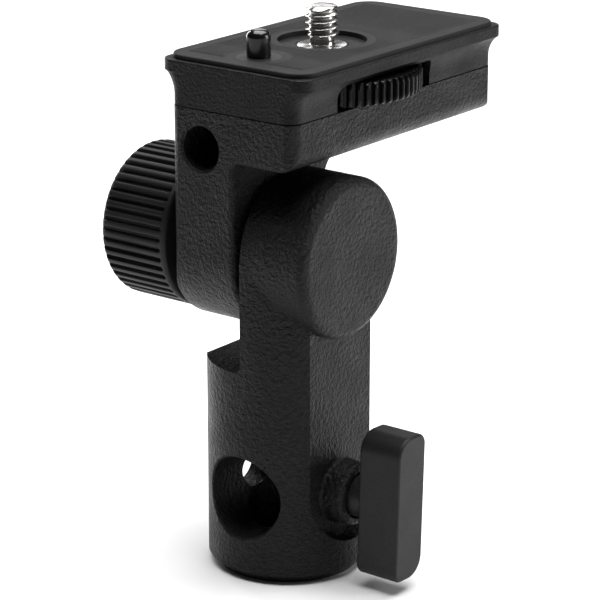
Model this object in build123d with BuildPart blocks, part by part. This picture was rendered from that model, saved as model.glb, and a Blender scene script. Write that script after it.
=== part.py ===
from build123d import *
import os
from math import hypot, pi, sqrt

# Umbrella swivel bracket: a post that fits a 5/8 in stand spigot and a tilting head.
#
# Frame, in millimetres: +Z up along the stand axis, X along the tilt axis with the knob on
# the -X side, +Y along the umbrella shaft towards the back. The origin is the centre of the
# post's bottom rim.

os.makedirs("parts", exist_ok=True)

# ---------------------------------------------------------------- driving dimensions
# post
POST_R = 15.6
FLAT_X = 12.4  # the two side flats stand this far from the axis
BASE_CHAMFER = 2.0
SOCKET_R = 8.1  # bore for a 5/8 in (15.9 mm) spigot
SOCKET_DEPTH = 34.0
CROSS_Z = 16.7  # height of the cross bore and of the clamp screw
SHELF_Z = 41.7
ARM_X = 0.6  # the arm's left wall
TILT_Z = 63.1
BOSS_R = 15.4
BOSS_END_X = 15.3

# clamp screw on the +X side
COLLAR_R = 6.1
COLLAR_END_X = 17.3
COUNTERBORE_R = 4.7
CLAMP_SEAT_X = 13.2  # outer end of the threaded bush
CLAMP_THREAD_R = 3.95
CLAMP_FIT = 0.06
SHOE_TIP_X = 8.3

# T handle
GRIP_X0 = 19.75
GRIP_X1 = 28.95
GRIP_HALF_W = 4.3
GRIP_LEN = 28.4
GRIP_TILT = 2.2  # degrees about X

# head casting
HEAD_X = -1.2
HEAD_HALF_X = 14.5
HEAD_Y1 = 48.7
BLOCK_Z0 = 81.9
SPLIT_Z = 90.95
RIB_Z0 = 77.5
EAR_X1 = -0.7
EAR_R = 15.8  # also the distance of the front face from the tilt axis
UMBRELLA_X = -8.3
UMBRELLA_Z = 83.7
UMBRELLA_R = 4.2  # bore for an 8 mm umbrella shaft

# top cover and pad
LIP_HALF_X = 17.0
LIP_Z0 = 97.33
PLATE_Z = 99.5
LIP_CORNER = 3.2
WALL_CORNER = 2.8
CORNER_EASE = 0.12
PAD_CORNER = 4.5
COVE_R = 5.0
PAD_Z = 100.4
PAD_HALF_X = 16.3
PAD_INSET_Y = 0.9
ROOF_Z = 96.25

# camera screw and thumbwheel
SCREW_X = HEAD_X
SCREW_Y = 12.0
WHEEL_R = 19.0
WHEEL_TEETH = 68
WHEEL_Z0 = 91.35
WHEEL_Z1 = 95.85
WINDOW_HALF_Y = 14.6
THREAD_R = 3.175  # 1/4-20 UNC
THREAD_TOP_Z = 106.9
DISC_R = 4.77
RECESS_R = 8.5

# anti-twist pin
PIN_Y = -7.2
PIN_R = 2.25
PIN_FOOT_Z = 100.6
PIN_TOP_Z = 105.5
PIN_DOME_R = 1.4
PIN_COLLAR_R = 4.2

# tilt lock on the -X side
KNOB_R = 15.2
KNOB_X0 = -34.1
KNOB_X1 = -17.9
KNOB_RIBS = 48
BOLT_R = 4.0
BOLT_FIT = 0.06

EAR_X0 = HEAD_X - HEAD_HALF_X
HEAD_Y0 = -EAR_R
HEAD_LEN = HEAD_Y1 - HEAD_Y0
HEAD_MID_Y = (HEAD_Y0 + HEAD_Y1) / 2

TOUCH = 0.05  # how near counts as lying on a face

pieces = []


def finish(builder, name):
    """Label a finished piece and write its STEP file."""
    builder.part.label = name
    export_step(builder.part, f"parts/{name}.step")
    pieces.append(name)


def across(x):
    """A plane square to X at x: local x runs along Y and local y along Z."""
    return Plane.YZ.offset(x)


# ---------------------------------------------------------------- post casting
POCKET_R = sqrt(POST_R**2 - FLAT_X**2)  # the flats end in a half round of their own width
SIDE_HOLE_R = 4.2
BUSH_X0 = 8.6
SHOE_HOLE_R = 4.3
FRICTION_R = 12.6
FRICTION_SEAT = 0.6
INSERT_R = 5.0
INSERT_END_X = 12.0



def on_cross_bore(point):
    """True where a point lies on the cross bore's wall."""
    return abs(hypot(point.X, point.Z - CROSS_Z) - SOCKET_R) < TOUCH


def on_barrel(point):
    """True where a point lies on the post's round outside."""
    return abs(hypot(point.X, point.Y) - POST_R) < TOUCH


with BuildPart() as post_casting:
    with BuildSketch():
        Circle(POST_R)
    extrude(amount=TILT_Z)
    chamfer(post_casting.edges().filter_by(GeomType.CIRCLE).sort_by(Axis.Z)[0], BASE_CHAMFER)

    # everything left of the arm ends at the shelf
    with BuildSketch(Plane.XY.offset(SHELF_Z)):
        with Locations((ARM_X - POST_R, 0)):
            Rectangle(2 * POST_R, 3 * POST_R)
    extrude(amount=TILT_Z, mode=Mode.SUBTRACT)
    wall_foot = post_casting.edges().filter_by(Axis.Y).sort_by(Axis.Z)[0]
    fillet(wall_foot, 1.5)

    # side flats with half-round ends about the clamp axis
    for side in (1, -1):
        with BuildSketch(across(side * FLAT_X)):
            with Locations((0, CROSS_Z)):
                Circle(POCKET_R)
            with Locations((0, CROSS_Z + TILT_Z / 2)):
                Rectangle(2 * POST_R, TILT_Z)
        extrude(amount=side * POST_R, mode=Mode.SUBTRACT)

    # tilt boss
    with BuildSketch(across(ARM_X)):
        with Locations((0, TILT_Z)):
            Circle(BOSS_R)
    extrude(amount=BOSS_END_X - ARM_X)
    fillet(post_casting.faces().sort_by(Axis.X)[-1].edges(), 2.0)

    # clamp collar
    with BuildSketch(across(FLAT_X)):
        with Locations((0, CROSS_Z)):
            Circle(COLLAR_R)
    extrude(amount=COLLAR_END_X - FLAT_X)
    fillet(post_casting.faces().sort_by(Axis.X)[-1].edges(), 1.0)

    # stand socket and cross bore
    with BuildSketch():
        Circle(SOCKET_R)
    extrude(amount=SOCKET_DEPTH, mode=Mode.SUBTRACT)
    with BuildSketch(Plane.XZ):
        with Locations((0, CROSS_Z)):
            Circle(SOCKET_R)
    extrude(amount=POST_R + 1, both=True, mode=Mode.SUBTRACT)

    # hole through the wall opposite the clamp screw
    with BuildSketch(across(0)):
        with Locations((0, CROSS_Z)):
            Circle(SIDE_HOLE_R)
    extrude(amount=-POST_R - 1, mode=Mode.SUBTRACT)

    # stepped hole for the shoe, the threaded bush and the handle's hub
    with BuildSketch(across(0)):
        with Locations((0, CROSS_Z)):
            Circle(SHOE_HOLE_R)
    extrude(amount=BUSH_X0 + 1, mode=Mode.SUBTRACT)
    with BuildSketch(across(BUSH_X0)):
        with Locations((0, CROSS_Z)):
            Circle(COUNTERBORE_R)
    extrude(amount=COLLAR_END_X - BUSH_X0 + 1, mode=Mode.SUBTRACT)

    # seat of the friction disc and hole for the tilt bolt's insert
    with BuildSketch(across(ARM_X)):
        with Locations((0, TILT_Z)):
            Circle(FRICTION_R)
    extrude(amount=FRICTION_SEAT, mode=Mode.SUBTRACT)
    with BuildSketch(across(ARM_X)):
        with Locations((0, TILT_Z)):
            Circle(INSERT_R)
    extrude(amount=INSERT_END_X - ARM_X, mode=Mode.SUBTRACT)

    # foot of the collar and the rims of the cross bore
    collar_foot = [
        edge
        for edge in post_casting.edges().filter_by(GeomType.CIRCLE)
        if abs(edge.center().X - FLAT_X) < TOUCH and abs(edge.radius - COLLAR_R) < TOUCH
    ]
    fillet(collar_foot, 0.6)
    cross_rims = [
        edge
        for edge in post_casting.edges()
        if all(on_cross_bore(edge @ t) and on_barrel(edge @ t) for t in (0.1, 0.4, 0.6, 0.9))
    ]
    chamfer(cross_rims, 0.4)
finish(post_casting, "post_casting")

# ---------------------------------------------------------------- clamp screw and handle
with BuildPart() as clamp_bush:
    with BuildSketch(across(BUSH_X0)):
        with Locations((0, CROSS_Z)):
            Circle(COUNTERBORE_R)
            Circle(CLAMP_THREAD_R + CLAMP_FIT, mode=Mode.SUBTRACT)
    extrude(amount=CLAMP_SEAT_X - BUSH_X0)
finish(clamp_bush, "clamp_bush")

SHOE_LEN = 1.8
SHOE_R = 3.4
STUD_END_X = 26.5
HUB_R = 4.25
HUB_END_X = 16.6

with BuildPart() as clamp_shoe:
    with BuildSketch(across(SHOE_TIP_X)):
        with Locations((0, CROSS_Z)):
            Circle(SHOE_R)
    extrude(amount=SHOE_LEN)
    chamfer(clamp_shoe.faces().sort_by(Axis.X)[0].edges(), 0.4)
finish(clamp_shoe, "clamp_shoe")

with BuildPart() as clamp_screw:
    with BuildSketch(across(SHOE_TIP_X + SHOE_LEN + 0.1)):
        with Locations((0, CROSS_Z)):
            Circle(CLAMP_THREAD_R)
    extrude(amount=STUD_END_X - SHOE_TIP_X - SHOE_LEN - 0.1)
    chamfer(clamp_screw.edges().filter_by(GeomType.CIRCLE), 0.5)
finish(clamp_screw, "clamp_screw")

# The grip's long axis leans about X; opposite corners share a radius.
grip_plane = across(GRIP_X0) * Location((0, CROSS_Z, 0), (0, 0, -GRIP_TILT))
with BuildPart() as clamp_handle:
    with BuildSketch(grip_plane) as grip_outline:
        Rectangle(2 * GRIP_HALF_W, GRIP_LEN)
        fillet(grip_outline.vertices().filter_by(lambda v: v.X * v.Y < 0), 4.0)
        sharper = grip_outline.vertices().filter_by(lambda v: v.X * v.Y > 0)
        fillet([v for v in sharper if abs(v.X) > 0.95 * GRIP_HALF_W and abs(v.Y) > 0.49 * GRIP_LEN], 2.2)
    extrude(amount=GRIP_X1 - GRIP_X0)
    fillet(clamp_handle.faces().sort_by(Axis.X)[-1].edges(), 0.6)
    fillet(clamp_handle.faces().sort_by(Axis.X)[0].edges(), 0.6)
    with BuildSketch(across(HUB_END_X)):
        with Locations((0, CROSS_Z)):
            Circle(HUB_R)
    extrude(amount=GRIP_X0 - HUB_END_X + 1)
    with BuildSketch(across(HUB_END_X)):
        with Locations((0, CROSS_Z)):
            Circle(CLAMP_THREAD_R)
    extrude(amount=STUD_END_X - HUB_END_X, mode=Mode.SUBTRACT)
finish(clamp_handle, "clamp_handle")

# ---------------------------------------------------------------- head casting
BLOCK_X1 = HEAD_X + HEAD_HALF_X
BUSH_R = 5.2
BALL_R = 1.5
BALL_Y = -12.0
BALL_PROUD = 0.2
BALL_POCKET_Z = 73.0
COVER_SCREWS = [
    (HEAD_X + dx, y) for dx in (0, 10.4) for y in (HEAD_Y0 + 3.1, HEAD_Y1 - 3.6)
]
COVER_SCREW_R = 1.25
COVER_SCREW_DEPTH = 6.0
WASHER_SEAT = 0.4
WASHER_R = 7.0
PIVOT_R = 1.9
PIVOT_Z0 = 89.0


def facing_front(y):
    """A plane square to Y at y: local x runs along X and local y along Z."""
    return Plane.XZ.offset(-y)


with BuildPart() as head_casting:
    with BuildSketch(facing_front(HEAD_Y0)) as section:
        with BuildLine():
            Polyline(
                (EAR_X0, SPLIT_Z),
                (BLOCK_X1, SPLIT_Z),
                (BLOCK_X1, BLOCK_Z0),
                (EAR_X1, BLOCK_Z0),
                (EAR_X1, RIB_Z0),
                (EAR_X0, RIB_Z0),
                close=True,
            )
        make_face()
        fillet(section.vertices().sort_by_distance((BLOCK_X1, BLOCK_Z0))[0], 3.6)
        fillet(section.vertices().sort_by_distance((EAR_X1, BLOCK_Z0))[0], 1.3)
    extrude(amount=-HEAD_LEN)

    # ear: round about the tilt axis, with a straight front and a swept fillet to the rib behind
    with BuildSketch(across(EAR_X0)) as ear_outline:
        with Locations((0, TILT_Z)):
            Circle(EAR_R)
        with Locations((-EAR_R / 2, (TILT_Z + RIB_Z0 + 2) / 2)):
            Rectangle(EAR_R, RIB_Z0 + 2 - TILT_Z)
        with Locations((EAR_R / 2, RIB_Z0 + 1)):
            Rectangle(3 * EAR_R, 2)
        rear = sqrt(EAR_R**2 - (RIB_Z0 - TILT_Z) ** 2)
        fillet(ear_outline.vertices().sort_by_distance((rear, RIB_Z0))[0], 4.0)
    extrude(amount=EAR_X1 - EAR_X0)

    # the plan's rounded corners
    with BuildSketch(Plane.XY.offset(TILT_Z - EAR_R)):
        with Locations((HEAD_X, HEAD_MID_Y)):
            RectangleRounded(2 * (HEAD_HALF_X + CORNER_EASE), HEAD_LEN + 2 * CORNER_EASE, WALL_CORNER + 0.3)
    extrude(amount=SPLIT_Z - TILT_Z + EAR_R, mode=Mode.INTERSECT)

    # umbrella bore, tilt bush hole, detent pocket, screw holes and the wheel's pivot
    with BuildSketch(facing_front(HEAD_Y0)):
        with Locations((UMBRELLA_X, UMBRELLA_Z)):
            Circle(UMBRELLA_R)
    extrude(amount=-HEAD_LEN, mode=Mode.SUBTRACT)
    with BuildSketch(across(EAR_X0)):
        with Locations((0, TILT_Z)):
            Circle(BUSH_R)
    extrude(amount=EAR_X1 - EAR_X0, mode=Mode.SUBTRACT)
    with BuildSketch(Plane.XY.offset(BALL_POCKET_Z)):
        with Locations((UMBRELLA_X, BALL_Y)):
            Circle(BALL_R + 0.05)
    extrude(amount=SPLIT_Z - BALL_POCKET_Z, mode=Mode.SUBTRACT)
    with BuildSketch(Plane.XY.offset(SPLIT_Z)):
        with Locations(*COVER_SCREWS):
            Circle(COVER_SCREW_R)
    extrude(amount=-COVER_SCREW_DEPTH, mode=Mode.SUBTRACT)
    with BuildSketch(Plane.XY.offset(SPLIT_Z)):
        with Locations((SCREW_X, SCREW_Y)):
            Circle(WASHER_R)
    extrude(amount=-WASHER_SEAT, mode=Mode.SUBTRACT)
    with BuildSketch(Plane.XY.offset(SPLIT_Z)):
        with Locations((SCREW_X, SCREW_Y)):
            Circle(PIVOT_R + 0.1)
    extrude(amount=PIVOT_Z0 - 0.1 - SPLIT_Z, mode=Mode.SUBTRACT)

    # softened edges: the ear's inner face, the lower back edges and the umbrella bore's mouths
    bush_rim = 2 * pi * BUSH_R
    ear_inner = [
        edge
        for edge in head_casting.edges()
        if abs(edge.center().X - EAR_X1) < TOUCH
        and edge.center().Z < RIB_Z0 + TOUCH
        and abs(edge.length - bush_rim) > TOUCH
    ]
    fillet(ear_inner, 1.0)
    mouth_rim = 2 * pi * UMBRELLA_R
    mouths = [edge for edge in head_casting.edges() if abs(edge.length - mouth_rim) < TOUCH]
    chamfer(mouths, 0.45)
    back_bottom = [
        edge
        for edge in head_casting.edges()
        if abs(edge.center().Y - HEAD_Y1) < TOUCH and edge.center().Z < BLOCK_Z0 + 0.5
    ]
    fillet(back_bottom, 0.6)
finish(head_casting, "head_casting")

# ---------------------------------------------------------------- umbrella detent
BALL_Z = UMBRELLA_Z - UMBRELLA_R + BALL_PROUD - BALL_R
SPRING_R = 1.3
SPRING_WIRE = 0.35

with BuildPart() as detent_ball:
    with Locations((UMBRELLA_X, BALL_Y, BALL_Z)):
        Sphere(BALL_R)
finish(detent_ball, "detent_ball")

with BuildPart() as detent_spring:
    with BuildSketch(Plane.XY.offset(BALL_POCKET_Z)):
        with Locations((UMBRELLA_X, BALL_Y)):
            Circle(SPRING_R)
            Circle(SPRING_R - SPRING_WIRE, mode=Mode.SUBTRACT)
    extrude(amount=BALL_Z - sqrt(BALL_R**2 - (SPRING_R - SPRING_WIRE) ** 2) - BALL_POCKET_Z)
finish(detent_spring, "detent_spring")

# ---------------------------------------------------------------- top cover
COVE_Z0 = LIP_Z0 - sqrt(COVE_R**2 - (COVE_R - (LIP_HALF_X - HEAD_HALF_X)) ** 2)
CAVITY_R = WHEEL_R + 0.7
WINDOW_CORNER = 2.2
DISC_CLEARANCE = 0.2
SCREW_HEAD_R = 2.3
SCREW_HEAD_H = 1.5
PIN_HOLE_R = 2.0
PIN_SHANK_R = 1.95


with BuildPart() as top_cover:
    with BuildSketch(facing_front(HEAD_Y0)):
        with BuildLine():
            for side in (-1, 1):
                wall_x = HEAD_X + side * HEAD_HALF_X
                lip_x = HEAD_X + side * LIP_HALF_X
                wall = Line((wall_x, SPLIT_Z), (wall_x, COVE_Z0))
                cove = TangentArc(wall @ 1, (lip_x, LIP_Z0), tangent=wall % 1)
            Line((HEAD_X - LIP_HALF_X, LIP_Z0), (HEAD_X + LIP_HALF_X, LIP_Z0))
            Line((HEAD_X - HEAD_HALF_X, SPLIT_Z), (HEAD_X + HEAD_HALF_X, SPLIT_Z))
        make_face()
    extrude(amount=-HEAD_LEN)
    ends = top_cover.faces().group_by(Axis.Y)
    corners = [
        edge
        for end in (ends[0], ends[-1])
        for edge in end.edges()
        if SPLIT_Z + 0.1 < edge.center().Z < LIP_Z0 - 0.1
    ]
    fillet(corners, WALL_CORNER)
    with BuildSketch(Plane.XY.offset(LIP_Z0)):
        with Locations((HEAD_X, HEAD_MID_Y)):
            RectangleRounded(2 * LIP_HALF_X, HEAD_LEN, LIP_CORNER)
    extrude(amount=PLATE_Z - LIP_Z0)
    fillet(top_cover.faces().sort_by(Axis.Z)[-1].edges(), 0.3)
    chamfer(top_cover.faces().sort_by(Axis.Z)[0].edges(), 0.25)

    # cavity for the thumbwheel, open through a window in each side
    with BuildSketch(Plane.XY.offset(SPLIT_Z)):
        with Locations((SCREW_X, SCREW_Y)):
            Circle(CAVITY_R)
    extrude(amount=ROOF_Z - SPLIT_Z, mode=Mode.SUBTRACT)
    with BuildSketch(across(HEAD_X - LIP_HALF_X)) as window:
        with Locations((SCREW_Y, (SPLIT_Z + ROOF_Z) / 2)):
            Rectangle(2 * WINDOW_HALF_Y, ROOF_Z - SPLIT_Z)
        fillet(window.vertices().group_by(Axis.Y)[-1], WINDOW_CORNER)
    extrude(amount=2 * LIP_HALF_X, mode=Mode.SUBTRACT)

    # holes in the roof for the screw's flange, the pin and the cover screws
    with BuildSketch(Plane.XY.offset(PLATE_Z)):
        with Locations((SCREW_X, SCREW_Y)):
            Circle(DISC_R + DISC_CLEARANCE)
        with Locations((SCREW_X, PIN_Y)):
            Circle(PIN_HOLE_R)
    extrude(amount=ROOF_Z - PLATE_Z, mode=Mode.SUBTRACT)
    with BuildSketch(Plane.XY.offset(PLATE_Z)):
        with Locations(*COVER_SCREWS):
            Circle(COVER_SCREW_R + 0.1)
    extrude(amount=SPLIT_Z - PLATE_Z, mode=Mode.SUBTRACT)
    with BuildSketch(Plane.XY.offset(PLATE_Z)):
        with Locations(*COVER_SCREWS):
            Circle(SCREW_HEAD_R + 0.1)
    extrude(amount=-SCREW_HEAD_H, mode=Mode.SUBTRACT)
finish(top_cover, "top_cover")

with BuildPart() as cover_screws:
    with BuildSketch(Plane.XY.offset(PLATE_Z - SCREW_HEAD_H)):
        with Locations(*COVER_SCREWS):
            Circle(SCREW_HEAD_R)
    extrude(amount=SCREW_HEAD_H)
    with BuildSketch(Plane.XY.offset(SPLIT_Z - COVER_SCREW_DEPTH)):
        with Locations(*COVER_SCREWS):
            Circle(COVER_SCREW_R)
    extrude(amount=PLATE_Z - SCREW_HEAD_H - SPLIT_Z + COVER_SCREW_DEPTH)
    with BuildSketch(Plane.XY.offset(PLATE_Z)):
        with Locations(*COVER_SCREWS):
            RegularPolygon(1.15, 6)
    extrude(amount=-0.9, mode=Mode.SUBTRACT)
finish(cover_screws, "cover_screws")

with BuildPart() as rubber_pad:
    with BuildSketch(Plane.XY.offset(PLATE_Z)):
        with Locations((HEAD_X, HEAD_MID_Y)):
            RectangleRounded(2 * PAD_HALF_X, HEAD_LEN - 2 * PAD_INSET_Y, PAD_CORNER)
    extrude(amount=PAD_Z - PLATE_Z)
    fillet(rubber_pad.faces().sort_by(Axis.Z)[-1].edges(), 0.3)
    with BuildSketch(Plane.XY.offset(PLATE_Z)):
        with Locations((SCREW_X, SCREW_Y)):
            Circle(RECESS_R)
        with Locations((SCREW_X, PIN_Y)):
            Circle(PIN_COLLAR_R)
    extrude(amount=PAD_Z - PLATE_Z, mode=Mode.SUBTRACT)
finish(rubber_pad, "rubber_pad")

# ---------------------------------------------------------------- anti-twist pin
with BuildPart() as pin_collar:
    with BuildSketch(Plane.XY.offset(PLATE_Z)):
        with Locations((SCREW_X, PIN_Y)):
            Circle(PIN_COLLAR_R)
            Circle(PIN_HOLE_R, mode=Mode.SUBTRACT)
    extrude(amount=PAD_Z - PLATE_Z)
finish(pin_collar, "pin_collar")

with BuildPart() as anti_twist_pin:
    with BuildSketch(Plane.XZ.offset(-PIN_Y)) as pin_section:
        with BuildLine():
            Polyline(
                (SCREW_X, PIN_TOP_Z),
                (SCREW_X, ROOF_Z),
                (SCREW_X + PIN_SHANK_R, ROOF_Z),
                (SCREW_X + PIN_SHANK_R, PIN_FOOT_Z),
                (SCREW_X + PIN_R, PIN_FOOT_Z),
                (SCREW_X + PIN_R, PIN_TOP_Z),
                close=True,
            )
        make_face()
        fillet(pin_section.vertices().sort_by_distance((SCREW_X + PIN_R, PIN_TOP_Z))[0], PIN_DOME_R)
    revolve(axis=Axis((SCREW_X, PIN_Y, 0), (0, 0, 1)))
finish(anti_twist_pin, "anti_twist_pin")

# ---------------------------------------------------------------- thumbwheel and camera screw
TOOTH_DEPTH = 0.75
WHEEL_BEVEL = 0.6
HEX_R = 3.4

with BuildPart() as thumbwheel:
    with BuildSketch(Plane.XY.offset(WHEEL_Z0)):
        with Locations((SCREW_X, SCREW_Y)):
            Circle(WHEEL_R)
            RegularPolygon(HEX_R, 6, mode=Mode.SUBTRACT)
    extrude(amount=WHEEL_Z1 - WHEEL_Z0)
    rims = thumbwheel.edges().filter_by(GeomType.CIRCLE)
    chamfer(rims, WHEEL_BEVEL)
    with BuildSketch(Plane.XY.offset(WHEEL_Z0)):
        with Locations((SCREW_X, SCREW_Y)):
            with PolarLocations(WHEEL_R, WHEEL_TEETH):
                Rectangle(2 * TOOTH_DEPTH, 0.75)
    extrude(amount=WHEEL_Z1 - WHEEL_Z0, mode=Mode.SUBTRACT)
finish(thumbwheel, "thumbwheel")

NECK_R = 2.35
THREAD_Z0 = 101.0

with BuildPart() as camera_screw:
    with BuildSketch(Plane.XY.offset(PIVOT_Z0)):
        with Locations((SCREW_X, SCREW_Y)):
            Circle(PIVOT_R)
    extrude(amount=WHEEL_Z0 - PIVOT_Z0)
    with BuildSketch(Plane.XY.offset(WHEEL_Z0)):
        with Locations((SCREW_X, SCREW_Y)):
            RegularPolygon(HEX_R, 6)
    extrude(amount=ROOF_Z - WHEEL_Z0)
    with BuildSketch(Plane.XY.offset(ROOF_Z)):
        with Locations((SCREW_X, SCREW_Y)):
            Circle(DISC_R)
    extrude(amount=PLATE_Z - ROOF_Z)
    with BuildSketch(Plane.XY.offset(PLATE_Z)):
        with Locations((SCREW_X, SCREW_Y)):
            Circle(NECK_R)
    extrude(amount=THREAD_Z0 - PLATE_Z)
    with BuildSketch(Plane.XY.offset(THREAD_Z0)):
        with Locations((SCREW_X, SCREW_Y)):
            Circle(THREAD_R)
    extrude(amount=THREAD_TOP_Z - THREAD_Z0)
    chamfer(camera_screw.faces().sort_by(Axis.Z)[-1].edges(), 0.5)
finish(camera_screw, "camera_screw")

with BuildPart() as thrust_washer:
    with BuildSketch(Plane.XY.offset(SPLIT_Z - WASHER_SEAT)):
        with Locations((SCREW_X, SCREW_Y)):
            Circle(WASHER_R - 0.1)
            Circle(HEX_R + 0.3, mode=Mode.SUBTRACT)
    extrude(amount=WHEEL_Z0 - 0.1 - SPLIT_Z + WASHER_SEAT)
finish(thrust_washer, "thrust_washer")

# ---------------------------------------------------------------- tilt lock
KNOB_RIM = 1.2
GROOVE_W = 0.75
GROOVE_DEPTH = 0.8
CAP_R = 9.0
CAP_T = 1.7
HEAD_POCKET_X = -28.0
BOLT_HEAD_R = 7.5
BOLT_HEAD_X0 = -32.1
BOLT_END_X = 11.0
WASHER_SPLIT_X = -16.9

with BuildPart() as tilt_knob:
    with BuildSketch(across(KNOB_X0)):
        with Locations((0, TILT_Z)):
            Circle(KNOB_R)
    extrude(amount=KNOB_X1 - KNOB_X0)
    fillet(tilt_knob.faces().sort_by(Axis.X)[0].edges(), 1.6)
    fillet(tilt_knob.faces().sort_by(Axis.X)[-1].edges(), 1.0)
    with BuildSketch(across(KNOB_X0)):
        with Locations((0, TILT_Z)):
            with PolarLocations(KNOB_R, KNOB_RIBS):
                Rectangle(2 * GROOVE_DEPTH, GROOVE_W)
    extrude(amount=KNOB_X1 - KNOB_RIM - KNOB_X0, mode=Mode.SUBTRACT)
    with BuildSketch(across(KNOB_X0)):
        with Locations((0, TILT_Z)):
            Circle(CAP_R)
    extrude(amount=BOLT_HEAD_X0 - KNOB_X0, mode=Mode.SUBTRACT)
    with BuildSketch(across(BOLT_HEAD_X0)):
        with Locations((0, TILT_Z)):
            RegularPolygon(BOLT_HEAD_R, 6)
    extrude(amount=HEAD_POCKET_X - BOLT_HEAD_X0, mode=Mode.SUBTRACT)
    with BuildSketch(across(HEAD_POCKET_X)):
        with Locations((0, TILT_Z)):
            Circle(BOLT_R)
    extrude(amount=KNOB_X1 - HEAD_POCKET_X, mode=Mode.SUBTRACT)
finish(tilt_knob, "tilt_knob")

with BuildPart() as knob_cap:
    with BuildSketch(across(BOLT_HEAD_X0)):
        with Locations((0, TILT_Z)):
            Circle(CAP_R)
    extrude(amount=-CAP_T)
    fillet(knob_cap.faces().sort_by(Axis.X)[0].edges(), 0.6)
finish(knob_cap, "knob_cap")

with BuildPart() as tilt_bolt:
    with BuildSketch(across(BOLT_HEAD_X0)):
        with Locations((0, TILT_Z)):
            RegularPolygon(BOLT_HEAD_R, 6)
    extrude(amount=HEAD_POCKET_X - BOLT_HEAD_X0)
    with BuildSketch(across(HEAD_POCKET_X)):
        with Locations((0, TILT_Z)):
            Circle(BOLT_R)
    extrude(amount=BOLT_END_X - HEAD_POCKET_X)
    chamfer(tilt_bolt.faces().sort_by(Axis.X)[-1].edges(), 0.8)
finish(tilt_bolt, "tilt_bolt")


# rings about the tilt axis: name, where each starts and ends along X, outer and inner radius
RINGS = {
    "spring_washer": (KNOB_X1, WASHER_SPLIT_X, 7.4, BOLT_R + 0.2),
    "tilt_washer": (WASHER_SPLIT_X, EAR_X0 - 0.1, 9.0, BOLT_R + 0.2),
    "ear_bush": (EAR_X0, EAR_X1, BUSH_R, BOLT_R + BOLT_FIT),
    "friction_disc": (EAR_X1 + 0.15, ARM_X + FRICTION_SEAT, FRICTION_R - 0.1, INSERT_R + 0.1),
    "tilt_insert": (ARM_X, INSERT_END_X, INSERT_R, BOLT_R + BOLT_FIT),
}
for name, (x0, x1, outer, inner) in RINGS.items():
    with BuildPart() as washer:
        with BuildSketch(across(x0)):
            with Locations((0, TILT_Z)):
                Circle(outer)
                Circle(inner, mode=Mode.SUBTRACT)
        extrude(amount=x1 - x0)
    finish(washer, name)

print(len(pieces), "pieces:", ", ".join(pieces))
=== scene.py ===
# %% [markdown]
# # Umbrella swivel bracket
# A small black tilting head for a light stand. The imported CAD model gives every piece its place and
# size, in metres. This script dresses it: coats, rubber, steel, the grooves of the knob and the
# thumbwheel, and the camera screw's thread. The frame is loaded first, because every later cell
# takes its places from it.

# %% Load the frame
import math

import bmesh
import bpy
from mathutils import Matrix, Vector


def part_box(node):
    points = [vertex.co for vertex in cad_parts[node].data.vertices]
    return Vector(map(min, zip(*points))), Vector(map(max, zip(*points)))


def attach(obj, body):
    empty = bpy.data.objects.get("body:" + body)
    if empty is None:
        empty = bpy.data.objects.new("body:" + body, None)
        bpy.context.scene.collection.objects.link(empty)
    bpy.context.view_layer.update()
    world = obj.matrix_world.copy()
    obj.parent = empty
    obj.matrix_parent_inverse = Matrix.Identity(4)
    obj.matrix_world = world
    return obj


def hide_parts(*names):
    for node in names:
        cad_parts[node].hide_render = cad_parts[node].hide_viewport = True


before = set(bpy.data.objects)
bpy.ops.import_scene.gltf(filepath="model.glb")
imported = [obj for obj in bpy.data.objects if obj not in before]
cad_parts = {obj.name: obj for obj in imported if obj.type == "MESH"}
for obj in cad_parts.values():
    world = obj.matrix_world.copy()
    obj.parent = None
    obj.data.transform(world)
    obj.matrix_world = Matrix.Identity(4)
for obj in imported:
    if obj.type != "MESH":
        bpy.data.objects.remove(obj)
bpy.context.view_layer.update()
MM = 0.001

# %% [markdown]
# ## Finishes
# Every finish is a node tree on Object coordinates, so its grain has a real size and stays on the
# piece when a joint moves. Building node trees by hand repeats the same three steps: add a node,
# set its values, link its inputs. One small helper does all three, which keeps each recipe short.


# %% A helper for node trees
def add(tree, kind, links=None, **values):
    """Add one node, set its properties and link or fill its inputs."""
    node = tree.nodes.new(kind)
    for key, value in values.items():
        setattr(node, key, value)
    for socket, source in (links or {}).items():
        target = node.inputs[socket]
        if isinstance(source, bpy.types.NodeSocket):
            tree.links.new(source, target)
        else:
            target.default_value = source
    return node


def calc(tree, operation, *terms):
    """A Math node; each term is a number or the output of another node."""
    node = add(tree, "ShaderNodeMath", dict(enumerate(terms)), operation=operation)
    return node.outputs[0]


# %% [markdown]
# A powder coat is a skin of melted grains: near black, half glossy, with a leathery relief whose
# bumps are about half a millimetre across. A displacement map would need millions of faces, so the
# relief is a Bump node fed by two noises of different size. Their scales are a share of the grain's.
# The roughness wanders a little too, because a sprayed skin is never equally smooth. The colour is painted
# shade
# and highlight: it follows the same height, darker in the grain's hollows and lighter on its tops. The satin
# and glossy black finishes are the same recipe with a finer grain and almost no relief.


# %% The grained black coats
BROAD_SHARE = 0.55
FINE_SHARE = 1.25
FINE_HEIGHT = 0.6
PATCH_SCALE = 140.0


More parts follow.
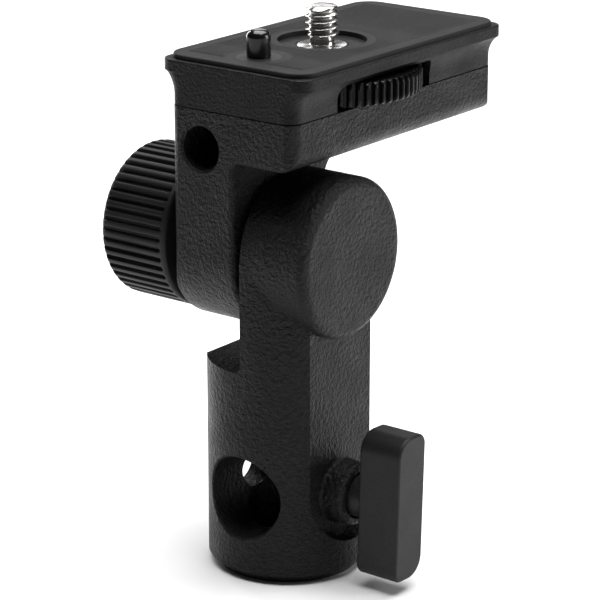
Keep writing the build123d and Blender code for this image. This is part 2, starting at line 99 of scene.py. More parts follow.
def grained_coat(name, colour, grain_mm, relief_mm, roughness, wander=0.08, grain_shade=0.35, shine=0.35):
    """A black coat with a noise relief; grain_mm is the size of one bump."""
    material = bpy.data.materials.new(name)
    material.use_nodes = True
    tree = material.node_tree
    shader = tree.nodes["Principled BSDF"]
    shader.inputs["Specular IOR Level"].default_value = shine
    place = add(tree, "ShaderNodeTexCoord").outputs["Object"]
    scale = 1 / (grain_mm * MM)
    broad_scale, fine_scale = BROAD_SHARE * scale, FINE_SHARE * scale
    broad = add(tree, "ShaderNodeTexNoise", {"Vector": place, "Scale": broad_scale, "Detail": 2.0})
    fine = add(tree, "ShaderNodeTexNoise", {"Vector": place, "Scale": fine_scale, "Detail": 3.0})
    patches = add(tree, "ShaderNodeTexNoise", {"Vector": place, "Scale": PATCH_SCALE, "Detail": 2.0})
    fine_part = calc(tree, "MULTIPLY", fine.outputs["Fac"], FINE_HEIGHT)
    height = calc(tree, "ADD", broad.outputs["Fac"], fine_part)
    bump = add(tree, "ShaderNodeBump", {"Height": height, "Strength": 1.0, "Distance": relief_mm * MM})
    tree.links.new(bump.outputs["Normal"], shader.inputs["Normal"])
    # Painted shade and highlight: the base colour follows the relief height, darker in the hollows and
    # lighter on the tops.
    relief_shading = add(
        tree,
        "ShaderNodeMapRange",
        {"Value": height, "From Min": 0.5, "From Max": 1.1, "To Min": 1 - grain_shade, "To Max": 1 + grain_shade},
    )
    mixed = add(
        tree,
        "ShaderNodeMix",
        {6: (0, 0, 0, 1), 7: (*colour, 1), 0: relief_shading.outputs["Result"]},
        data_type="RGBA",
        clamp_factor=False,
    )
    tree.links.new(mixed.outputs[2], shader.inputs["Base Color"])
    gloss = add(
        tree,
        "ShaderNodeMapRange",
        {
            "Value": patches.outputs["Fac"],
            "From Min": 0.3,
            "From Max": 0.7,
            "To Min": roughness - wander,
            "To Max": roughness + wander,
        },
    )
    tree.links.new(gloss.outputs["Result"], shader.inputs["Roughness"])
    return material


casting_coat = grained_coat("casting_coat", (0.005, 0.005, 0.0051), 0.46, 0.50, 0.40, grain_shade=0.6, shine=0.17)
cover_coat = grained_coat("cover_coat", (0.0045, 0.0045, 0.0046), 0.32, 0.20, 0.43, shine=0.15)
handle_satin = grained_coat("handle_satin", (0.011, 0.011, 0.0112), 0.24, 0.020, 0.46, 0.05, shine=0.20)
knob_matte = grained_coat("knob_matte", (0.007, 0.007, 0.0071), 0.24, 0.022, 0.50, 0.05, shine=0.24)
gloss_black = grained_coat("gloss_black", (0.005, 0.005, 0.0052), 0.60, 0.006, 0.20, 0.04, shine=0.5)
wheel_black = grained_coat("wheel_black", (0.002, 0.002, 0.002), 0.25, 0.008, 0.26, 0.05, shine=0.14)
coats = (casting_coat, cover_coat, handle_satin, knob_matte, gloss_black, wheel_black)
print("coats:", [coat.name for coat in coats])

# %% [markdown]
# Turned metal shows the rings left by the cutter. The rings lie round the piece's own axis, so a
# Mapping node moves the pattern's centre there, and a Wave texture in ring mode draws them. At a
# scale of 1 its rings are a fixed period apart, so the scale is that period over the ring spacing.


# %% The metals and the white nylon
WAVE_PERIOD = 2 * math.pi / 20
SMEAR_SCALE = 900.0
RING_RELIEF = 0.006 * MM
SHADE = 0.8


def turned_metal(name, colour, centre, turn, roughness, rings_mm=0.12, metallic=1.0):
    """Metal with lathe rings about an axis through centre; turn brings that axis onto Z."""
    material = bpy.data.materials.new(name)
    material.use_nodes = True
    tree = material.node_tree
    shader = tree.nodes["Principled BSDF"]
    shader.inputs["Metallic"].default_value = metallic
    place = add(tree, "ShaderNodeTexCoord").outputs["Object"]
    centred = add(
        tree,
        "ShaderNodeMapping",
        {"Vector": place, "Location": centre, "Rotation": turn},
        vector_type="TEXTURE",
    )
    rings = add(
        tree,
        "ShaderNodeTexWave",
        {
            "Vector": centred.outputs["Vector"],
            "Scale": WAVE_PERIOD / (rings_mm * MM),
            "Distortion": 1.5,
            "Detail": 2.0,
            "Detail Scale": 1.0,
        },
        wave_type="RINGS",
        rings_direction="Z",
    )
    smear = add(tree, "ShaderNodeTexNoise", {"Vector": place, "Scale": SMEAR_SCALE, "Detail": 3.0})
    bump = add(
        tree,
        "ShaderNodeBump",
        {"Height": rings.outputs["Fac"], "Strength": 0.5, "Distance": RING_RELIEF},
    )
    tree.links.new(bump.outputs["Normal"], shader.inputs["Normal"])
    gloss = add(
        tree,
        "ShaderNodeMapRange",
        {"Value": smear.outputs["Fac"], "To Min": roughness - 0.08, "To Max": roughness + 0.12},
    )
    tree.links.new(gloss.outputs["Result"], shader.inputs["Roughness"])
    shade = tuple(SHADE * c for c in colour)
    mixed = add(
        tree,
        "ShaderNodeMix",
        {0: smear.outputs["Fac"], 6: (*shade, 1), 7: (*colour, 1)},
        data_type="RGBA",
    )
    tree.links.new(mixed.outputs[2], shader.inputs["Base Color"])
    return material


def middle(node):
    """Middle of a CAD node's box."""
    low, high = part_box(node)
    return (low + high) / 2


ALONG_X = (0, math.pi / 2, 0)
screw_place = middle("camera_screw")
tilt_place = middle("tilt_bolt")
clamp_place = middle("clamp_screw")
stainless = turned_metal("stainless", (0.78, 0.77, 0.75), screw_place, (0, 0, 0), 0.20)
zinc_steel = turned_metal("zinc_steel", (0.50, 0.50, 0.49), tilt_place, ALONG_X, 0.32)
black_steel = turned_metal("black_steel", (0.05, 0.05, 0.052), tilt_place, ALONG_X, 0.35)
black_clamp = turned_metal("black_clamp_steel", (0.05, 0.05, 0.052), clamp_place, ALONG_X, 0.35)
brass = turned_metal("brass", (0.72, 0.50, 0.22), clamp_place, ALONG_X, 0.28)
brass_insert = turned_metal("brass_insert", (0.72, 0.50, 0.22), tilt_place, ALONG_X, 0.28)
nylon = turned_metal("nylon", (0.72, 0.71, 0.67), tilt_place, ALONG_X, 0.45, 0.3, metallic=0.0)
print("metals:", stainless.name, zinc_steel.name, black_steel.name, brass.name)

# %% [markdown]
# The pad and the collar round the pin are moulded rubber: dull, with a very fine crumb. The pad's
# ridges are real geometry and come later; the material only carries the crumb.

# %% The rubber
rubber = grained_coat("rubber", (0.0125, 0.0125, 0.0124), 0.20, 0.060, 0.60, 0.03, shine=0.15)
print("rubber:", rubber.name)

# %% [markdown]
# ## Dressing the CAD pieces
# The castings, the cover and the small fittings already have their true shape, so only their
# material changes.

# %% Give each CAD piece its finish
FINISH = {
    "post_casting": casting_coat,
    "head_casting": casting_coat,
    "top_cover": cover_coat,
    "rubber_pad": rubber,
    "pin_collar": handle_satin,
    "anti_twist_pin": gloss_black,
    "clamp_handle": handle_satin,
    "clamp_screw": black_clamp,
    "clamp_bush": brass,
    "clamp_shoe": brass,
    "cover_screws": black_steel,
    "detent_ball": stainless,
    "detent_spring": stainless,
    "thrust_washer": nylon,
    "ear_bush": nylon,
    "tilt_bolt": black_steel,
    "spring_washer": black_steel,
    "tilt_washer": zinc_steel,
    "friction_disc": black_steel,
    "tilt_insert": brass_insert,
    "knob_cap": knob_matte,
}
for node_name, material in FINISH.items():
    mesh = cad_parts[node_name].data
    mesh.materials.clear()
    mesh.materials.append(material)
print(len(FINISH), "CAD pieces dressed")

# %% [markdown]
# ## Grooved and threaded pieces
# The tilt knob, the thumbwheel and the camera screw are turned shapes that a cutter has passed over
# again and again. Each is made in two steps that Geometry Nodes can express as a rule. First a
# half section is swept round a circle, like clay on a wheel. Then every point is moved in to the
# cutter's path wherever that path is deeper than the surface. The rule is the same for a straight
# groove and a helical thread: only the cutter's path differs.

# %% A half section as a curve
def half_section(name, points_mm):
    """A poly curve in the XZ plane: x is the radius and z the height, in millimetres."""
    curve = bpy.data.curves.new(name, "CURVE")
    curve.dimensions = "3D"
    spline = curve.splines.new("POLY")
    spline.points.add(len(points_mm) - 1)
    for point, (radius, height) in zip(spline.points, points_mm):
        point.co = (radius * MM, 0, height * MM, 1)
    item = bpy.data.objects.new(name, curve)
    bpy.context.scene.collection.objects.link(item)
    return item


def rounded(corner, before, after, radius, steps=6):
    """Points of an arc that rounds a right-angled corner between two straight sides."""
    corner, before, after = Vector(corner), Vector(before), Vector(after)
    start = corner + (before - corner).normalized() * radius
    end = corner + (after - corner).normalized() * radius
    centre = start + end - corner
    arc = []
    for i in range(steps + 1):
        angle = math.pi / 2 * i / steps
        arc.append(tuple(centre + (start - centre) * math.cos(angle) + (end - centre) * math.sin(angle)))
    return arc


def between(start, end, count):
    """Evenly spaced points after start, up to but not including end."""
    start, end = Vector(start), Vector(end)
    return [tuple(start.lerp(end, i / count)) for i in range(1, count)]


# %% The node tree that turns and cuts
WELD = 0.002 * MM


def turning_tree(name, sizes, cutter):
    """A node group that spins a half section about Z and cuts it; cutter gives the cut's radius."""
    tree = bpy.data.node_groups.new(name, "GeometryNodeTree")
    face = tree.interface
    face.new_socket("Half Section", in_out="INPUT", socket_type="NodeSocketObject")
    face.new_socket("Finish", in_out="INPUT", socket_type="NodeSocketMaterial")
    face.new_socket("Columns", in_out="INPUT", socket_type="NodeSocketInt")
    for label in sizes:
        face.new_socket(label, in_out="INPUT", socket_type="NodeSocketFloat")
    face.new_socket("Geometry", in_out="OUTPUT", socket_type="NodeSocketGeometry")
    given = add(tree, "NodeGroupInput").outputs

    section = add(tree, "GeometryNodeObjectInfo", {0: given["Half Section"]})
    place = add(tree, "GeometryNodeInputPosition")
    on_section = tree.nodes.new("GeometryNodeCaptureAttribute")
    on_section.capture_items.new("VECTOR", "Drawn")
    tree.links.new(section.outputs["Geometry"], on_section.inputs[0])
    tree.links.new(place.outputs[0], on_section.inputs[1])

    wheel = add(tree, "GeometryNodeCurvePrimitiveCircle", {"Resolution": given["Columns"], "Radius": 1.0})
    share = add(tree, "GeometryNodeSplineParameter")
    on_wheel = tree.nodes.new("GeometryNodeCaptureAttribute")
    on_wheel.capture_items.new("FLOAT", "Share")
    tree.links.new(wheel.outputs[0], on_wheel.inputs[0])
    tree.links.new(share.outputs["Factor"], on_wheel.inputs[1])

    swept = add(
        tree,
        "GeometryNodeCurveToMesh",
        {"Curve": on_wheel.outputs[0], "Profile Curve": on_section.outputs[0]},
    )
    drawn = add(tree, "ShaderNodeSeparateXYZ", {0: on_section.outputs[1]})
    radius, height = drawn.outputs["X"], drawn.outputs["Z"]
    angle = calc(tree, "MULTIPLY", on_wheel.outputs[1], 2 * math.pi)
    kept = calc(tree, "MINIMUM", radius, cutter(tree, given, radius, height, angle))
    spot = add(
        tree,
        "ShaderNodeCombineXYZ",
        {
            0: calc(tree, "MULTIPLY", kept, calc(tree, "COSINE", angle)),
            1: calc(tree, "MULTIPLY", kept, calc(tree, "SINE", angle)),
            2: height,
        },
    )
    moved = add(tree, "GeometryNodeSetPosition", {"Geometry": swept.outputs[0], "Position": spot.outputs[0]})
    closed = add(tree, "GeometryNodeMergeByDistance", {"Geometry": moved.outputs[0], "Distance": WELD})
    real = add(tree, "GeometryNodeRealizeInstances", {0: closed.outputs[0]})
    coated = add(tree, "GeometryNodeSetMaterial", {"Geometry": real.outputs[0], "Material": given["Finish"]})
    out = add(tree, "NodeGroupOutput")
    tree.links.new(coated.outputs[0], out.inputs[0])
    return tree


def run_tree(name, tree, values, placement, crease=32):
    """Run a node group on an empty mesh and keep its result as a plain, outward facing mesh."""
    host = bpy.data.objects.new(name + "_host", bpy.data.meshes.new(name + "_host"))
    bpy.context.scene.collection.objects.link(host)
    modifier = host.modifiers.new("rule", "NODES")
    modifier.node_group = tree
    for item in tree.interface.items_tree:
        if item.in_out == "INPUT":
            modifier[item.identifier] = values[item.name]
    depsgraph = bpy.context.evaluated_depsgraph_get()
    mesh = bpy.data.meshes.new_from_object(host.evaluated_get(depsgraph), depsgraph=depsgraph)
    bpy.data.objects.remove(host)
    mesh.transform(placement)
    shell = bmesh.new()
    shell.from_mesh(mesh)
    bmesh.ops.dissolve_degenerate(shell, dist=WELD / 2, edges=shell.edges)
    if shell.calc_volume(signed=True) < 0:
        bmesh.ops.reverse_faces(shell, faces=shell.faces)
    volume = shell.calc_volume(signed=True)
    open_edges = sum(not edge.is_manifold for edge in shell.edges)
    shell.to_mesh(mesh)
    shell.free()
    mesh.shade_smooth()
    mesh.set_sharp_from_angle(angle=math.radians(crease))
    piece = bpy.data.objects.new(name, mesh)
    bpy.context.scene.collection.objects.link(piece)
    print(name, len(mesh.polygons), "faces,", round(volume * 1e9), "cubic mm,", open_edges, "open edges")
    return piece


def turn_piece(name, tree, section, columns, finish, sizes, placement, body, node, crease=32):
    """Turn and cut one piece and let it stand for a CAD node."""
    values = {"Half Section": section, "Finish": finish, "Columns": columns, **sizes}
    piece = run_tree(name, tree, values, placement, crease)
    bpy.data.objects.remove(section)
    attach(piece, body)
    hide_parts(node)


# %% [markdown]
# A straight groove is cut by a small round-nosed cutter that travels along the piece and stops
# short of the rim. Its depth depends on how far a point is from the cutter's line, and past the
# end of the line, from its last point. That last distance is what gives the groove its round end.


# %% The rule for straight grooves
def straight_cutter(tree, given, radius, height, angle):
    """Radius left by Count grooves that end at Stop."""
    turns = calc(tree, "DIVIDE", calc(tree, "MULTIPLY", angle, given["Count"]), 2 * math.pi)
    aside = calc(tree, "ABSOLUTE", calc(tree, "SUBTRACT", calc(tree, "FRACT", turns), 0.5))
    pitch = calc(tree, "DIVIDE", calc(tree, "MULTIPLY", given["Outer Radius"], 2 * math.pi), given["Count"])
    across = calc(tree, "MULTIPLY", aside, pitch)
    half_width = calc(tree, "MULTIPLY", given["Groove Width"], 0.5)
    past = calc(tree, "ADD", calc(tree, "SUBTRACT", height, given["Stop"]), half_width)
    past = calc(tree, "MAXIMUM", past, 0.0)
    squares = calc(tree, "ADD", calc(tree, "MULTIPLY", across, across), calc(tree, "MULTIPLY", past, past))
    reach = calc(tree, "SQRT", squares)
    share = add(
        tree,
        "ShaderNodeMapRange",
        {
            "Value": reach,
            "From Min": calc(tree, "SUBTRACT", half_width, given["Edge"]),
            "From Max": calc(tree, "ADD", half_width, given["Edge"]),
            "To Min": 1.0,
            "To Max": 0.0,
        },
        interpolation_type="SMOOTHSTEP",
    )
    sunk = calc(tree, "MULTIPLY", share.outputs["Result"], given["Groove Depth"])
    return calc(tree, "SUBTRACT", given["Outer Radius"], sunk)


groove_tree = turning_tree(
    "straight_grooves",
    ("Outer Radius", "Count", "Groove Width", "Groove Depth", "Edge", "Stop"),
    straight_cutter,
)
print("grooving tree:", len(groove_tree.nodes), "nodes")

# %% [markdown]
# The tilt knob is a moulded drum with wide ribs between narrow grooves, a plain band at its inner
# rim, and a hollow for the bolt's head behind the cap. A bevelled cylinder with an array of cutters
# would do it with booleans, which are slow and leave poor faces. The rule cuts all grooves at once.
# The half section has more points where the grooves end, so that their round ends stay smooth.

# %% The tilt knob
knob_low, knob_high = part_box("tilt_knob")
KNOB_OUT = knob_low.x / MM
KNOB_IN = knob_high.x / MM
KNOB_R = (knob_high.z - knob_low.z) / 2 / MM
cap_low, cap_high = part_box("knob_cap")
CAP_HOLE_R = (cap_high.z - cap_low.z) / 2 / MM + 0.05
CAP_SEAT = cap_high.x / MM
POCKET_END = -28.0
POCKET_R = 7.6
BOLT_HOLE_R = 4.3
RIBS = 48
COLUMNS_PER_RIB = 14
RIM_BAND = 1.2
OUTER_ROUND = 1.6
INNER_ROUND = 1.0
GROOVE_END = KNOB_IN - RIM_BAND - 0.6
knob_points = [(CAP_HOLE_R, KNOB_OUT)]
knob_points += rounded((KNOB_R, KNOB_OUT), (0, KNOB_OUT), (KNOB_R, KNOB_IN), OUTER_ROUND, 8)
knob_points += between((KNOB_R, KNOB_OUT + OUTER_ROUND), (KNOB_R, GROOVE_END + 0.1), 16)
knob_points += between((KNOB_R, GROOVE_END), (KNOB_R, KNOB_IN - INNER_ROUND), 12)
knob_points += rounded((KNOB_R, KNOB_IN), (KNOB_R, KNOB_OUT), (0, KNOB_IN), INNER_ROUND, 6)
knob_points += [(BOLT_HOLE_R, KNOB_IN), (BOLT_HOLE_R, POCKET_END)]
knob_points += [(POCKET_R, POCKET_END), (POCKET_R, CAP_SEAT), (CAP_HOLE_R, CAP_SEAT)]
knob_section = half_section("knob_half_section", knob_points)
knob_section.data.splines[0].use_cyclic_u = True
ALONG_TILT = Matrix.Translation((0, 0, tilt_place.z)) @ Matrix.Rotation(math.pi / 2, 4, "Y")
turn_piece(
    "tilt_knob_ribbed",
    groove_tree,
    knob_section,
    RIBS * COLUMNS_PER_RIB,
    knob_matte,
    {
        "Outer Radius": KNOB_R * MM,
        "Count": float(RIBS),
        "Groove Width": 0.80 * MM,
        "Groove Depth": 0.80 * MM,
        "Edge": 0.26 * MM,
        "Stop": (KNOB_IN - RIM_BAND) * MM,
    },
    ALONG_TILT,
    "tilt_lock",
    "tilt_knob",
)

# %% [markdown]
# The thumbwheel is a thin disc. Its teeth run its whole height and its two rims are bevelled, so
# each tooth ends in a small slanted facet that catches the light. The knob's rule serves again,
# with its stop set far above the wheel, so that the grooves run right through.

# %% The thumbwheel
wheel_low, wheel_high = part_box("thumbwheel")
WHEEL_R = 19.0
WHEEL_Z0 = wheel_low.z / MM
WHEEL_Z1 = wheel_high.z / MM
TEETH = 68
COLUMNS_PER_TOOTH = 12
BEVEL = 0.6
HUB_R = 3.45
FAR_ABOVE = 1000.0
WEB_R = WHEEL_R - 3
TOOTH_FOOT_R = WHEEL_R - 1.2
wheel_points = [
    (HUB_R, WHEEL_Z0),
    (WEB_R, WHEEL_Z0),
    *between((TOOTH_FOOT_R, WHEEL_Z0), (WHEEL_R - BEVEL, WHEEL_Z0), 3),
    *between((WHEEL_R - BEVEL, WHEEL_Z0), (WHEEL_R, WHEEL_Z0 + BEVEL), 4),
    *between((WHEEL_R, WHEEL_Z0 + BEVEL), (WHEEL_R, WHEEL_Z1 - BEVEL), 8),
    *between((WHEEL_R, WHEEL_Z1 - BEVEL), (WHEEL_R - BEVEL, WHEEL_Z1), 4),
    *between((WHEEL_R - BEVEL, WHEEL_Z1), (TOOTH_FOOT_R, WHEEL_Z1), 3),
    (WEB_R, WHEEL_Z1),
    (HUB_R, WHEEL_Z1),
]
wheel_section = half_section("wheel_half_section", wheel_points)
wheel_section.data.splines[0].use_cyclic_u = True
UP_SCREW = Matrix.Translation((screw_place.x, screw_place.y, 0))
turn_piece(
    "thumbwheel_toothed",
    groove_tree,
    wheel_section,
    TEETH * COLUMNS_PER_TOOTH,
    wheel_black,
    {
        "Outer Radius": WHEEL_R * MM,
        "Count": float(TEETH),
        "Groove Width": 0.95 * MM,
        "Groove Depth": 0.85 * MM,
        "Edge": 0.20 * MM,
        "Stop": FAR_ABOVE * MM,
    },
    UP_SCREW,
    "wheel",
    "thumbwheel",
)

# %% [markdown]
# A thread is a groove whose line climbs one pitch in each turn. A point's place across the groove is
# the fraction of height over pitch less the share of a turn. The camera screw is the standard
# 1/4 inch one: 20 turns to the inch, 1.27 mm apart, with a chamfer at the tip. The root and the
# crest are flat for a share of the pitch, because a sharp V would break away on a real screw.


# %% The rule for a thread
ROOT_SHARE = 0.13
CREST_SHARE = 0.88


def thread_cutter(tree, given, radius, height, angle):
    """Radius left by a helical V groove above Start."""
    climb = calc(tree, "DIVIDE", height, given["Pitch"])
    turn = calc(tree, "DIVIDE", angle, 2 * math.pi)
    place = calc(tree, "FRACT", calc(tree, "SUBTRACT", climb, turn))
    peak = calc(tree, "ABSOLUTE", calc(tree, "SUBTRACT", calc(tree, "MULTIPLY", place, 2.0), 1.0))
    flank = add(
        tree,
        "ShaderNodeMapRange",
        {
            "Value": peak,
            "From Min": ROOT_SHARE,
            "From Max": CREST_SHARE,
            "To Min": given["Root Radius"],
            "To Max": given["Crest Radius"],
        },
    )
    below = calc(tree, "LESS_THAN", height, given["Start"])
    return calc(tree, "ADD", flank.outputs["Result"], below)


thread_tree = turning_tree(
    "helical_thread", ("Pitch", "Root Radius", "Crest Radius", "Start"), thread_cutter
)
PITCH = 1.27
THREAD_STATIONS = 128
THREAD_COLUMNS = 144
CREST_R = 3.175
ROOT_R = 2.36
NECK_R = 2.34
DISC_R = 4.77
DISC_Z0 = 96.3
HEXAGON_R = 3.3
PIVOT_R = 1.9
RUN_OUT = 0.45
TIP_CHAMFER = 0.55
THREAD_Z0 = 101.0
PLATE_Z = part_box("top_cover")[1].z / MM
screw_low, screw_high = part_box("camera_screw")
SCREW_TOP = screw_high.z / MM
SCREW_FOOT = screw_low.z / MM
thread_foot = THREAD_Z0 + RUN_OUT
thread_top = SCREW_TOP - TIP_CHAMFER
screw_points = [(0.0, SCREW_FOOT), (PIVOT_R, SCREW_FOOT), (PIVOT_R, WHEEL_Z0)]
screw_points += [(HEXAGON_R, WHEEL_Z0), (HEXAGON_R, DISC_Z0), (DISC_R, DISC_Z0)]
screw_points += rounded((DISC_R, PLATE_Z), (DISC_R, 0), (0, PLATE_Z), 0.15, 3)
screw_points += [(NECK_R + 0.2, PLATE_Z), (NECK_R, PLATE_Z + 0.2), (NECK_R, THREAD_Z0)]
screw_points += [(ROOT_R, THREAD_Z0 + 0.02), (CREST_R, thread_foot)]
screw_points += between((CREST_R, thread_foot), (CREST_R, thread_top), THREAD_STATIONS)
screw_points += [(CREST_R, thread_top), (CREST_R - 0.3, SCREW_TOP - 0.30), (2.62, SCREW_TOP - 0.06)]
screw_points += [(2.52, SCREW_TOP), (1.4, SCREW_TOP), (0.0, SCREW_TOP)]
turn_piece(
    "camera_screw_threaded",
    thread_tree,
    half_section("screw_half_section", screw_points),
    THREAD_COLUMNS,
    stainless,
    {
        "Pitch": PITCH * MM,
        "Root Radius": ROOT_R * MM,
        "Crest Radius": CREST_R * MM,
        "Start": (THREAD_Z0 + 0.02) * MM,
    },
    UP_SCREW,
    "wheel",
    "camera_screw",
    crease=50,
)

# %% [markdown]
# The rubber pad has fine ridges running across it, so that a camera doesn't slip. They stop in a
# straight line short of each edge and in a ring round each hole. A wave over a fine grid draws them
# all with one rule, and a mask holds them inside their field. The grid gets a flat underside a
# little way into the pad, which makes the ridges a closed skin.

# %% The ridges of the pad
pad_low, pad_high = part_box("rubber_pad")
pin_place = middle("anti_twist_pin")
RIDGE_PITCH = 0.80 * MM
RIDGE_HEIGHT = 0.22 * MM
SKIN_DEPTH = 0.15 * MM
SUNK = 0.02 * MM
SIDE_INSET = 2.7 * MM
END_INSET = 3.6 * MM
PIN_RING = 6.0 * MM
SCREW_RING = 10.0 * MM
ROWS_PER_RIDGE = 5.0
COLUMN_WIDTH = 0.3 * MM
FADE = 0.25 * MM
HOLE_MARGIN = 0.6 * MM


def ridge_tree():
    """A node group that raises ridges across X on a grid, clear of two rings."""
    tree = bpy.data.node_groups.new("pad_ridges", "GeometryNodeTree")
    face = tree.interface
    face.new_socket("Finish", in_out="INPUT", socket_type="NodeSocketMaterial")
    for label in ("Width", "Length", "Top", "Pitch", "Height", "Ring 1", "Ring 2"):
        face.new_socket(label, in_out="INPUT", socket_type="NodeSocketFloat")
    for label in ("Middle", "Place 1", "Place 2"):
        face.new_socket(label, in_out="INPUT", socket_type="NodeSocketVector")
    face.new_socket("Geometry", in_out="OUTPUT", socket_type="NodeSocketGeometry")
    given = add(tree, "NodeGroupInput").outputs
    ridges = calc(tree, "DIVIDE", given["Length"], given["Pitch"])
    rows = calc(tree, "MULTIPLY", ridges, ROWS_PER_RIDGE)
    columns = calc(tree, "DIVIDE", given["Width"], COLUMN_WIDTH)
    grid = add(
        tree,
        "GeometryNodeMeshGrid",
        {"Size X": given["Width"], "Size Y": given["Length"], "Vertices X": columns, "Vertices Y": rows},
    )
    laid = add(
        tree,
        "GeometryNodeTransform",
        {"Geometry": grid.outputs["Mesh"], "Translation": given["Middle"]},
    )
    place = add(tree, "ShaderNodeSeparateXYZ", {0: add(tree, "GeometryNodeInputPosition").outputs[0]})
    centre = add(tree, "ShaderNodeSeparateXYZ", {0: given["Middle"]})

    def clear_of(spot, ring):
        """How far a point lies outside a ring."""
        spot = add(tree, "ShaderNodeSeparateXYZ", {0: spot})
        across = calc(tree, "SUBTRACT", place.outputs["X"], spot.outputs["X"])
        along = calc(tree, "SUBTRACT", place.outputs["Y"], spot.outputs["Y"])
        across_squared = calc(tree, "MULTIPLY", across, across)
        along_squared = calc(tree, "MULTIPLY", along, along)
        distance = calc(tree, "SQRT", calc(tree, "ADD", across_squared, along_squared))
        return calc(tree, "SUBTRACT", distance, ring)

    def clear_of_side(axis, size):
        """How far a point lies inside the grid's edges along one axis."""
        off = calc(tree, "ABSOLUTE", calc(tree, "SUBTRACT", place.outputs[axis], centre.outputs[axis]))
        return calc(tree, "SUBTRACT", calc(tree, "MULTIPLY", size, 0.5), off)

    outside = calc(
        tree,
        "MINIMUM",
        clear_of(given["Place 1"], given["Ring 1"]),
        clear_of(given["Place 2"], given["Ring 2"]),
    )
    edge = calc(tree, "MINIMUM", clear_of_side("X", given["Width"]), clear_of_side("Y", given["Length"]))
    mask = add(
        tree,
        "ShaderNodeMapRange",
        {"Value": calc(tree, "MINIMUM", outside, edge), "From Max": FADE},
    ).outputs["Result"]
    holes = calc(tree, "LESS_THAN", outside, -HOLE_MARGIN)
    base = add(
        tree,
        "GeometryNodeDeleteGeometry",
        {"Geometry": laid.outputs[0], "Selection": holes},
        domain="FACE",
    )
    lifted = add(
        tree,
        "GeometryNodeExtrudeMesh",
        {"Mesh": base.outputs[0], "Offset": (0, 0, SKIN_DEPTH), "Offset Scale": 1.0, "Individual": False},
    )
    phase = calc(tree, "MULTIPLY", calc(tree, "DIVIDE", place.outputs["Y"], given["Pitch"]), 2 * math.pi)
    wave = calc(tree, "ADD", calc(tree, "MULTIPLY", calc(tree, "SINE", phase), 0.5), 0.5)
    rise = calc(tree, "MULTIPLY", calc(tree, "MULTIPLY", wave, mask), given["Height"])
    level = calc(tree, "SUBTRACT", calc(tree, "ADD", given["Top"], rise), SUNK)
    spot = add(
        tree, "ShaderNodeCombineXYZ", {0: place.outputs["X"], 1: place.outputs["Y"], 2: level}
    )
    between_skins = calc(tree, "SUBTRACT", given["Top"], 0.1 * MM)
    upper = calc(tree, "GREATER_THAN", place.outputs["Z"], between_skins)
    shaped = add(
        tree,
        "GeometryNodeSetPosition",
        {"Geometry": lifted.outputs["Mesh"], "Selection": upper, "Position": spot.outputs[0]},
    )
    under = add(tree, "GeometryNodeFlipFaces", {0: base.outputs[0]})
    both = tree.nodes.new("GeometryNodeJoinGeometry")
    tree.links.new(shaped.outputs[0], both.inputs[0])
    tree.links.new(under.outputs[0], both.inputs[0])
    closed = add(tree, "GeometryNodeMergeByDistance", {"Geometry": both.outputs[0], "Distance": WELD})
    real = add(tree, "GeometryNodeRealizeInstances", {0: closed.outputs[0]})
    coated = add(tree, "GeometryNodeSetMaterial", {"Geometry": real.outputs[0], "Material": given["Finish"]})
    out = add(tree, "NodeGroupOutput")
    tree.links.new(coated.outputs[0], out.inputs[0])
    return tree


pad_middle = (pad_low + pad_high) / 2
pad_middle.z = pad_high.z - SUNK - SKIN_DEPTH
pad_ridges = run_tree(
    "pad_ridges",
    ridge_tree(),
    {
        "Finish": rubber,
        "Width": pad_high.x - pad_low.x - 2 * SIDE_INSET,
        "Length": pad_high.y - pad_low.y - 2 * END_INSET,
        "Top": pad_high.z,
        "Pitch": RIDGE_PITCH,
        "Height": RIDGE_HEIGHT,
        "Middle": pad_middle,
        "Place 1": pin_place,
        "Ring 1": PIN_RING,
        "Place 2": screw_place,
        "Ring 2": SCREW_RING,
    },
    Matrix.Identity(4),
)
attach(pad_ridges, "head")

# %% [markdown]
# ## The studio
# The bracket stands on a pale sheet in soft light: a broad bank above, a tall bank on the handle
# side, a narrow strip behind on the knob side, and a faint low card behind, aimed at the plate.
# Black faces are drawn by what they reflect, so where the banks stand matters as much as their
# power, and the world is kept almost dark.

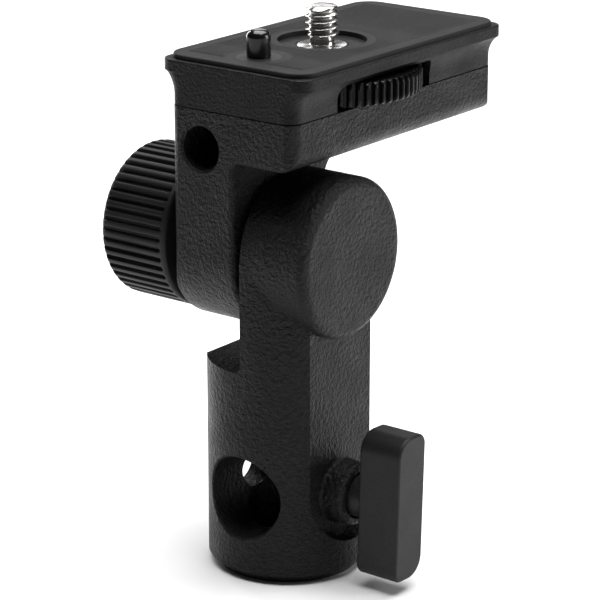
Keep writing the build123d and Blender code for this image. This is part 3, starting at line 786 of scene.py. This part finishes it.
# %% The floor
floor_mesh = bpy.data.meshes.new("floor")
FLOOR_HALF = 4.0
CORNERS = ((-1, -1), (1, -1), (1, 1), (-1, 1))
floor_corners = [(x * FLOOR_HALF, y * FLOOR_HALF, 0) for x, y in CORNERS]
floor_mesh.from_pydata(floor_corners, [], [(0, 1, 2, 3)])
floor = bpy.data.objects.new("floor", floor_mesh)
bpy.context.scene.collection.objects.link(floor)
sheet = bpy.data.materials.new("pale_sheet")
sheet.use_nodes = True
sheet_shader = sheet.node_tree.nodes["Principled BSDF"]
sheet_shader.inputs["Base Color"].default_value = (0.90, 0.90, 0.90, 1)
sheet_shader.inputs["Roughness"].default_value = 0.5
floor_mesh.materials.append(sheet)
print("floor", 2 * FLOOR_HALF, "m wide")


# %% The lights
def soft_bank(name, place, target, width, height, power):
    """A rectangular area light that faces target."""
    light = bpy.data.lights.new(name, "AREA")
    light.shape = "RECTANGLE"
    light.size = width
    light.size_y = height
    light.energy = power
    item = bpy.data.objects.new(name, light)
    item.location = place
    item.rotation_euler = (Vector(target) - Vector(place)).to_track_quat("-Z", "Y").to_euler()
    bpy.context.scene.collection.objects.link(item)
    return item


HEART = (0.0, 0.01, 0.055)
soft_bank("overhead_bank", (-0.02, 0.16, 0.85), (0.0, 0.10, 0.0), 0.9, 0.9, 19.0)
soft_bank("handle_side_bank", (0.75, 0.45, 0.25), HEART, 0.30, 0.45, 3.2)
soft_bank("knob_side_strip", (-0.60, 0.25, 0.20), HEART, 0.15, 0.50, 2.0)
soft_bank("low_back_card", (-0.36, 0.48, 0.28), (0.0, 0.01, 0.10), 0.22, 0.13, 0.16)
world = bpy.data.worlds.new("studio_white")
bpy.context.scene.world = world
world.use_nodes = True
background = world.node_tree.nodes["Background"]
background.inputs["Color"].default_value = (1, 1, 1, 1)
background.inputs["Strength"].default_value = 0.03
bpy.context.scene.view_settings.view_transform = "Standard"

# %% [markdown]
# ## The camera
# A long lens from the handle side, a little above the plate. The lens is a focal length in
# millimetres on the usual 36 mm sensor, and two angles, the dip and the turn, give the rotation.

# %% The camera
camera_data = bpy.data.cameras.new("view")
camera_data.sensor_width = 36.0
camera_data.lens = 156.42
camera_data.clip_start = 0.01
camera_data.clip_end = 20.0
camera = bpy.data.objects.new("view", camera_data)
STATION = (0.2888, -0.3721, 0.2037)
DIP = 17.83
TURN = 37.55
camera.location = STATION
camera.rotation_euler = (math.radians(90 - DIP), 0.0, math.radians(TURN))
bpy.context.scene.collection.objects.link(camera)
bpy.context.scene.camera = camera
print("camera", tuple(round(v, 4) for v in camera.location))
